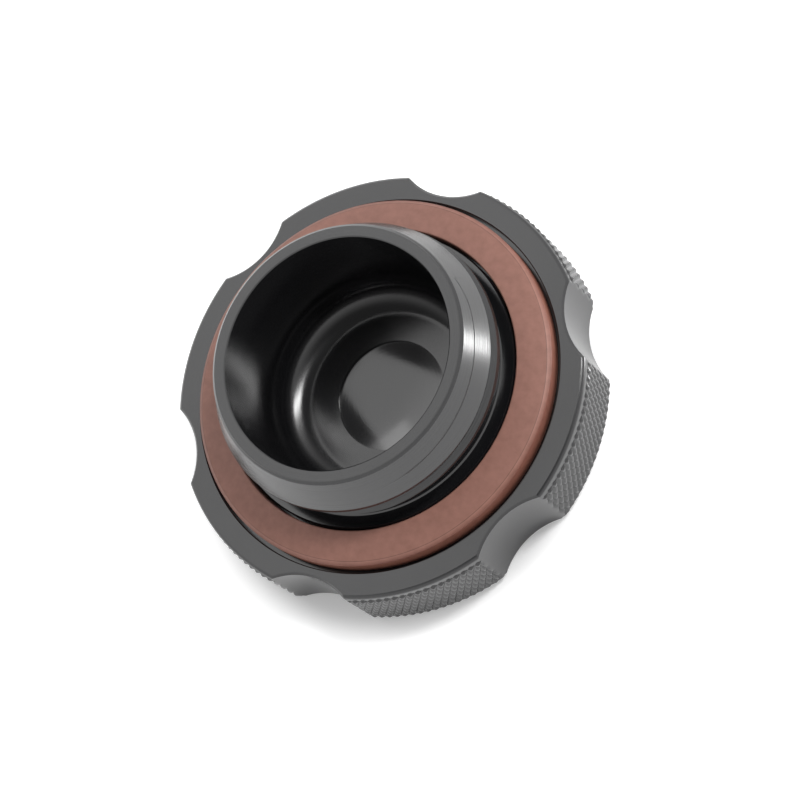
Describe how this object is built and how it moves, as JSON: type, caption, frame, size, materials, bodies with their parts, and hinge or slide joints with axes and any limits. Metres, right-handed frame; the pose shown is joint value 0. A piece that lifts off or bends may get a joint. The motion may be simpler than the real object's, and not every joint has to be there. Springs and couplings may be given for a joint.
{
  "type": "oil filler cap",
  "caption": "Screw-in oil filler cap: lobed knurled grip with finger scallops, hollow coarse-threaded spigot and a flat sealing ring.",
  "frame": {"origin": "centre of the flat outer face of the grip, on which the cap rests", "axes": "+Z along the thread axis, out of the spigot's mouth; +X through the middle of one grip lobe"},
  "size_m": [0.063, 0.0616, 0.0247],
  "materials": {
    "anodised_body": "black anodised, turned, satin",
    "seal_rubber": "matt brown fluoro-rubber"
  },
  "bodies": {
    "root": {"cap_body": "anodised_body", "seal_ring": "seal_rubber"}
  },
  "joints": []
}
